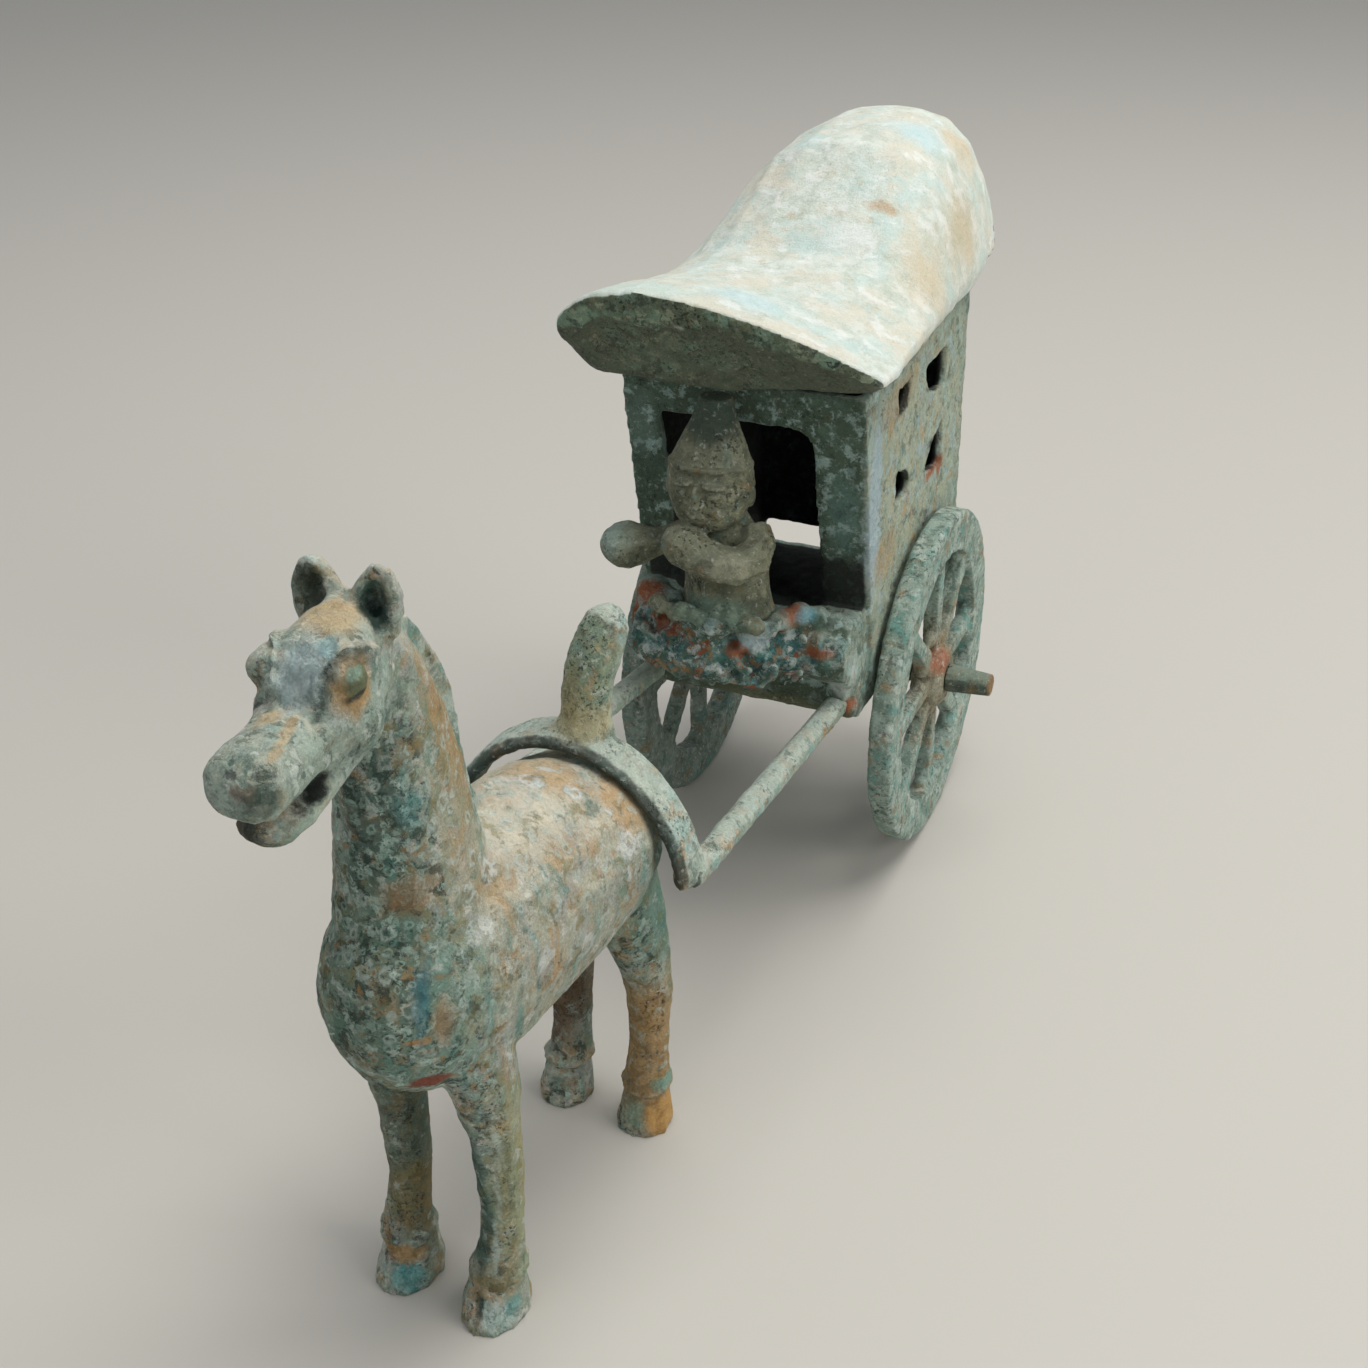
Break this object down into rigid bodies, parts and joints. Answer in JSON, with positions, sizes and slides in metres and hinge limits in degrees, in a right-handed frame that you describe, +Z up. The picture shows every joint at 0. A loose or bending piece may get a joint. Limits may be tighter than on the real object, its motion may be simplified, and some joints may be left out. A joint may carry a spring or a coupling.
{
  "type": "horse and carriage figure",
  "caption": "Small cast-bronze horse drawing a covered two-wheeled carriage with a seated driver, weathered green and buff.",
  "frame": {"origin": "on the ground, at the middle of the whole object's box", "axes": "+Z up; the horse faces -Y; +X is the left side of the horse and the carriage"},
  "size_m": [0.104, 0.3036, 0.1846],
  "materials": {
    "horse": "dull, pitted, with a chalky green and buff crust",
    "yoke_and_shafts": "dull, pitted, with a chalky green and buff crust",
    "carriage_body": "dull, pitted, with a chalky green and buff crust",
    "roof": "dull, pitted, with a chalky green and buff crust",
    "driver": "dull, pitted, with a chalky green and buff crust",
    "axle": "dull, pitted, with a chalky green and buff crust",
    "wheel_left": "dull, pitted, with a chalky green and buff crust",
    "wheel_right": "dull, pitted, with a chalky green and buff crust"
  },
  "bodies": {
    "body": {"horse": "horse", "yoke_and_shafts": "yoke_and_shafts", "carriage_body": "carriage_body", "roof": "roof", "driver": "driver", "axle": "axle"},
    "left_wheel": {"wheel_left": "wheel_left"},
    "right_wheel": {"wheel_right": "wheel_right"}
  },
  "joints": [
    {"name": "left_wheel_turn", "type": "hinge", "parent": "body", "child": "left_wheel", "pos_m": [0.0347, 0.0926, 0.046], "axis": [1, 0, 0], "continuous": true},
    {"name": "right_wheel_turn", "type": "hinge", "parent": "body", "child": "right_wheel", "pos_m": [-0.0343, 0.0926, 0.046], "axis": [1, 0, 0], "continuous": true}
  ]
}
